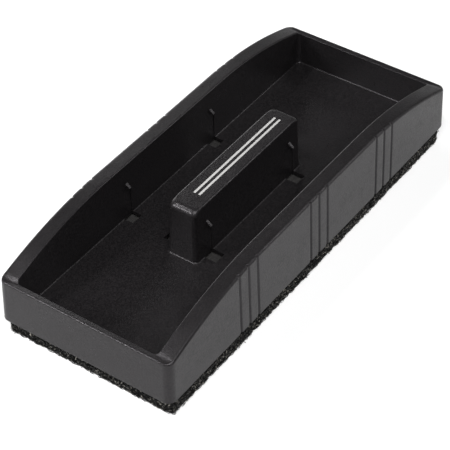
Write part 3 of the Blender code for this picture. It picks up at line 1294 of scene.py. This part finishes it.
    def _shapes(self, add: AddNode, given: Sockets) -> Node:
        """Nodes that make one strand of each shape.

        Args:
            add: adds a node.
            given: the tree's inputs.

        Returns:
            The last node, which gives them as instances.
        """
        sides = {"Resolution": self.strand_sides}
        section = add("GeometryNodeCurvePrimitiveCircle", sides, {"Radius": given["Radius"]})
        tubes = []
        for bend, lift, hook in self.strand_shapes:
            curl = {  # control points, as shares of the length
                "Resolution": self.strand_steps,
                "Start": (-0.5, hook, -0.06),
                "Start Handle": (-0.25, -bend, lift),
                "End Handle": (0.2, bend, lift * 0.9),
                "End": (0.5, hook - bend * 0.5, -0.05),
            }
            line = add("GeometryNodeCurvePrimitiveBezierSegment", curl)
            length = add("ShaderNodeCombineXYZ", links=dict.fromkeys("XYZ", given["Length"]))
            sized = add("GeometryNodeTransform", links={"Geometry": line, "Scale": length})
            tubes.append(
                add("GeometryNodeCurveToMesh", {"Fill Caps": True}, {"Curve": sized, "Profile Curve": section})
            )
        return add("GeometryNodeGeometryToInstance", links={"Geometry": tubes})

    def _turns(self, add: AddNode, normal: Source, seed: Source) -> Node:
        """Nodes that lay each strand on the batt, turned at random and a little tilted.

        Args:
            add: adds a node.
            normal: the batt's normal at each point.
            seed: the tree's seed.

        Returns:
            The last node, which gives the rotations.
        """
        lying = add("FunctionNodeAlignRotationToVector", links={"Vector": normal}, axis="Z")
        most = Vector((self.strand_tilt, self.strand_tilt, math.pi))
        angles = add("FunctionNodeRandomValue", {"Min": -most, "Max": most}, {"Seed": seed}, data_type="FLOAT_VECTOR")
        spin = add("FunctionNodeEulerToRotation", links={"Euler": angles.outputs["Value"]})
        return add("FunctionNodeRotateRotation", links={"Rotation": lying, "Rotate By": spin}, rotation_space="LOCAL")

    def _gap(self, add: AddNode, upper: Source, lower: Source) -> Node:
        """Nodes that give the height of one thing over another, bent smoothly so that it never passes zero.

        Args:
            add: adds a node.
            upper: the upper height.
            lower: the lower height.

        Returns:
            The last node.
        """
        gap = add("ShaderNodeMath", links={0: upper, 1: lower}, operation="SUBTRACT")
        square = add("ShaderNodeMath", links={0: gap, 1: gap}, operation="MULTIPLY")
        more = add("ShaderNodeMath", {1: (self.softness * MM) ** 2}, {0: square}, operation="ADD")
        root = add("ShaderNodeMath", links={0: more}, operation="SQRT")
        total = add("ShaderNodeMath", links={0: gap, 1: root}, operation="ADD")
        return add("ShaderNodeMath", {1: 0.5}, {0: total}, operation="MULTIPLY")

    def _scatter(self, finish: Material) -> NodeTree:
        """Geometry Nodes: curled strands scattered over the batt, kept between the surface and the tray.

        Args:
            finish: the strands' material.

        Returns:
            The tree.
        """
        lengths = ("Edge density", "Face density", "Length", "Radius", "Lowest", "Highest")
        inputs = {"Batt": "Object"} | dict.fromkeys(lengths, "Float") | {"Seed": "Int"}
        rule, add, given = new_rule("loose_strands", inputs)
        points = self._points(add, given)
        shapes = self._shapes(add, given)
        turns = self._turns(add, points.outputs["Normal"], given["Seed"])
        least, most = self.strand_sizes
        size = add("FunctionNodeRandomValue", {"Min": least, "Max": most}, data_type="FLOAT")
        pick = add("FunctionNodeRandomValue", {"Min": 0, "Max": len(self.strand_shapes) - 1}, data_type="INT")
        copied = {
            "Points": points,
            "Instance": shapes,
            "Instance Index": pick.outputs["Value"],
            "Rotation": turns,
            "Scale": size.outputs["Value"],
        }
        copies = add("GeometryNodeInstanceOnPoints", {"Pick Instance": True}, copied)
        whole = add("GeometryNodeRealizeInstances", links={"Geometry": copies})
        at = add("ShaderNodeSeparateXYZ", links={"Vector": add("GeometryNodeInputPosition")}).outputs
        lifted = self._gap(add, at["Z"], given["Lowest"])
        raised = add("ShaderNodeMath", links={0: lifted, 1: given["Lowest"]}, operation="ADD")
        pressed = self._gap(add, given["Highest"], raised)
        kept = add("ShaderNodeMath", links={0: given["Highest"], 1: pressed}, operation="SUBTRACT")
        target = add("ShaderNodeCombineXYZ", links={"X": at["X"], "Y": at["Y"], "Z": kept})
        moved = add("GeometryNodeSetPosition", links={"Geometry": whole, "Position": target})
        dressed = add("GeometryNodeSetMaterial", {"Material": finish}, {"Geometry": moved})
        add("NodeGroupOutput", links={"Geometry": dressed})
        return rule

    def strands(self, name: str, batt: Object, finish: Material, on_face: bool) -> Object:
        """Scatter the strands of the edge or of the face.

        Args:
            name: the piece's name.
            batt: the body that they grow on.
            finish: the strands' material.
            on_face: the face's strands and not the edge's.

        Returns:
            A plain mesh of closed strands.
        """
        given = {
            "Batt": batt,
            "Edge density": 0.0 if on_face else self.edge_density / MM**2,
            "Face density": self.face_density / MM**2 if on_face else 0.0,
            "Length": self.strand_length * MM,
            "Radius": self.strand_radius * MM,
            "Lowest": self.low.z + self.clearance * MM,
            "Highest": self.high.z,
            "Seed": self.seed,
        }
        piece = grow(name, self._scatter(finish), given)
        piece.data.shade_smooth()
        wear(piece, finish)
        return piece


# ---- handle print


@dataclass
class HandlePrint:
    """Plain printed motif on the handle's top: two stripes along it."""

    top_z: float
    stripe_from: float = -40.0
    stripe_to: float = 46.0
    stripe_width: float = 1.5
    stripe_apart: float = 3.6
    ink: float = 0.05

    def build(self, finish: Material) -> Object:
        """Lay the motif down as a thin film of ink.

        Args:
            finish: the ink.

        Returns:
            A closed mesh for each stripe, in one object.
        """
        bm = bmesh.new()
        half = self.stripe_width / 2
        for side in Side:
            y = side.value * self.stripe_apart / 2
            low = (self.stripe_from, y - half, self.top_z - self.ink)
            add_box(bm, low, (self.stripe_to, y + half, self.top_z + self.ink))
        return object_from("handle_print", bm, finish)


# ---- the studio


@dataclass(frozen=True)
class Softbox:
    """One soft lamp: where it hangs as seen from the eraser, its width and height in metres, and its watts."""

    towards: tuple[float, float, float]
    size: tuple[float, float]
    power: float


@dataclass
class Studio:
    """Lit white table, softboxes all round, and the camera."""

    azimuth: float = -54.392  # degrees
    elevation: float = 42.131
    roll: float = -0.778
    distance: float = 1093.0
    aim: tuple[float, float, float] = (-11.68, -0.06, 9.7)
    lens: float = 141.05
    sees: tuple[float, float] = (0.05, 20.0)  # metres
    floor_size: float = 8.0  # metres
    lamp_distance: float = 1.8  # metres
    horizon: float = 0.4  # brightness of the surroundings low down
    ceiling: float = 0.0
    band_top: float = 0.5  # sine of the height at which the surroundings have gone dark
    lamps: dict[str, Softbox] = field(
        default_factory=lambda: {
            "back_left": Softbox((-0.3, 0.43, 0.85), (0.22, 0.22), 10.0),
            "left": Softbox((-0.75, 0.46, 0.53), (0.3, 0.3), 19.0),
            "right_edge": Softbox((0.6, -0.62, 0.5), (0.2, 0.2), 4.5),
            "right_high": Softbox((0.6, -0.35, 0.72), (0.8, 0.8), 4.5),
            "front_top": Softbox((-0.4, -0.35, 0.85), (1.0, 1.0), 33.0),
            "back_low": Softbox((0.5, 0.8, 0.35), (1.2, 0.7), 13.0),
        }
    )

    def camera(self) -> None:
        """Place the camera and make it the scene's."""
        az, el = math.radians(self.azimuth), math.radians(self.elevation)
        back = Vector((math.sin(az) * math.cos(el), -math.cos(az) * math.cos(el), math.sin(el)))
        right = (-back).cross(Vector((0, 0, 1))).normalized()
        level = Matrix((right, right.cross(-back), back)).transposed()
        data = bpy.data.cameras.new("camera")
        data.lens = self.lens
        data.clip_start, data.clip_end = self.sees
        made = put_in_scene("camera", data)
        place = Vector(self.aim) * MM + back * self.distance * MM
        axes = level @ Matrix.Rotation(math.radians(self.roll), 3, "Z")
        made.matrix_world = Matrix.Translation(place) @ axes.to_4x4()
        bpy.context.scene.camera = made

    def hang(self, name: str, lamp: Softbox) -> None:
        """Hang one softbox, aimed at the eraser.

        Args:
            name: the lamp's name.
            lamp: its place, size and power.
        """
        data = bpy.data.lights.new(name, "AREA")
        data.shape = "RECTANGLE"
        data.size, data.size_y = lamp.size
        data.energy = lamp.power
        made = put_in_scene(name, data)
        made.location = Vector(lamp.towards).normalized() * self.lamp_distance
        made.rotation_euler = made.location.to_track_quat("Z", "Y").to_euler()

    def surroundings(self) -> World:
        """White walls low down, going dark overhead."""
        world = bpy.data.worlds.new("studio_surroundings")
        world.use_nodes = True
        add = partial(add_node, world.node_tree)
        place = add("ShaderNodeTexCoord").outputs["Generated"]
        height = add("ShaderNodeSeparateXYZ", links={"Vector": place}).outputs["Z"]
        fade = {"From Max": self.band_top, "To Min": self.horizon, "To Max": self.ceiling}
        strength = add("ShaderNodeMapRange", fade, {"Value": height})
        background = world.node_tree.nodes["Background"]
        background.inputs["Color"].default_value = WHITE
        world.node_tree.links.new(strength.outputs["Result"], background.inputs["Strength"])
        return world

    def build(self, sheet: Material) -> None:
        """Set the table, its surroundings, the lamps and the camera.

        Args:
            sheet: the table's finish.
        """
        bm = bmesh.new()
        bmesh.ops.create_grid(bm, x_segments=1, y_segments=1, size=self.floor_size / 2)
        floor = object_from("studio_floor", bm, sheet)
        bpy.context.scene.world = self.surroundings()
        for name, lamp in self.lamps.items():
            self.hang(name, lamp)
        bpy.context.scene.view_settings.view_transform = "Standard"
        self.camera()


# ---- main


def declare(piece: Object, slot: Slot | None, *nodes: str) -> None:
    """Ride a piece on the tray's body, hide the CAD nodes that it replaces, and log its face count.

    Args:
        piece: the finished piece.
        slot: not used.
        nodes: the CAD nodes that it replaces.
    """
    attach(piece, BODY)
    if nodes:
        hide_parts(*nodes)
    LOG.info("%s: %d faces", piece.name, len(piece.data.polygons))


def main() -> None:
    """Build and dress the eraser."""
    logging.basicConfig(level=logging.INFO)
    Studio().build(LitAcrylic().material())

    low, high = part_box("tray_body")
    tray = TrayMoulding(
        half_length=(high.x - low.x) / 2 / MM,
        half_width=(high.y - low.y) / 2 / MM,
        skirt_z=low.z / MM,
        crest_z=high.z / MM,
    )
    plastic = MouldedPlastic().material()
    declare(tray.build(PenStations(tray), plastic), Slot.TRAY, "tray_body")
    declare(HandlePrint(tray.handle_top_z).build(PadPrintedInk().material()), None)

    pad = WipingPad(*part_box("wiping_pad"))
    strand = FibreStrand().material()
    batt = pad.batt(LoftyFibre().material())
    edge = pad.strands("edge_strands", batt, strand, on_face=False)
    under = pad.strands("face_strands", batt, strand, on_face=True)
    declare(batt, Slot.PAD, "wiping_pad")
    declare(edge, Slot.PAD)
    declare(under, Slot.PAD)

    # the board's colours carry painted shade of the recess under the floor
    wear(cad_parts["backing_board"], PressedBoardPaintedShade().material())
    foam = FoamTape().material()
    for name in ("side_tape_left", "side_tape_right", "end_tape_near", "end_tape_far"):
        wear(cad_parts[name], foam)


if __name__ == "__main__":
    main()
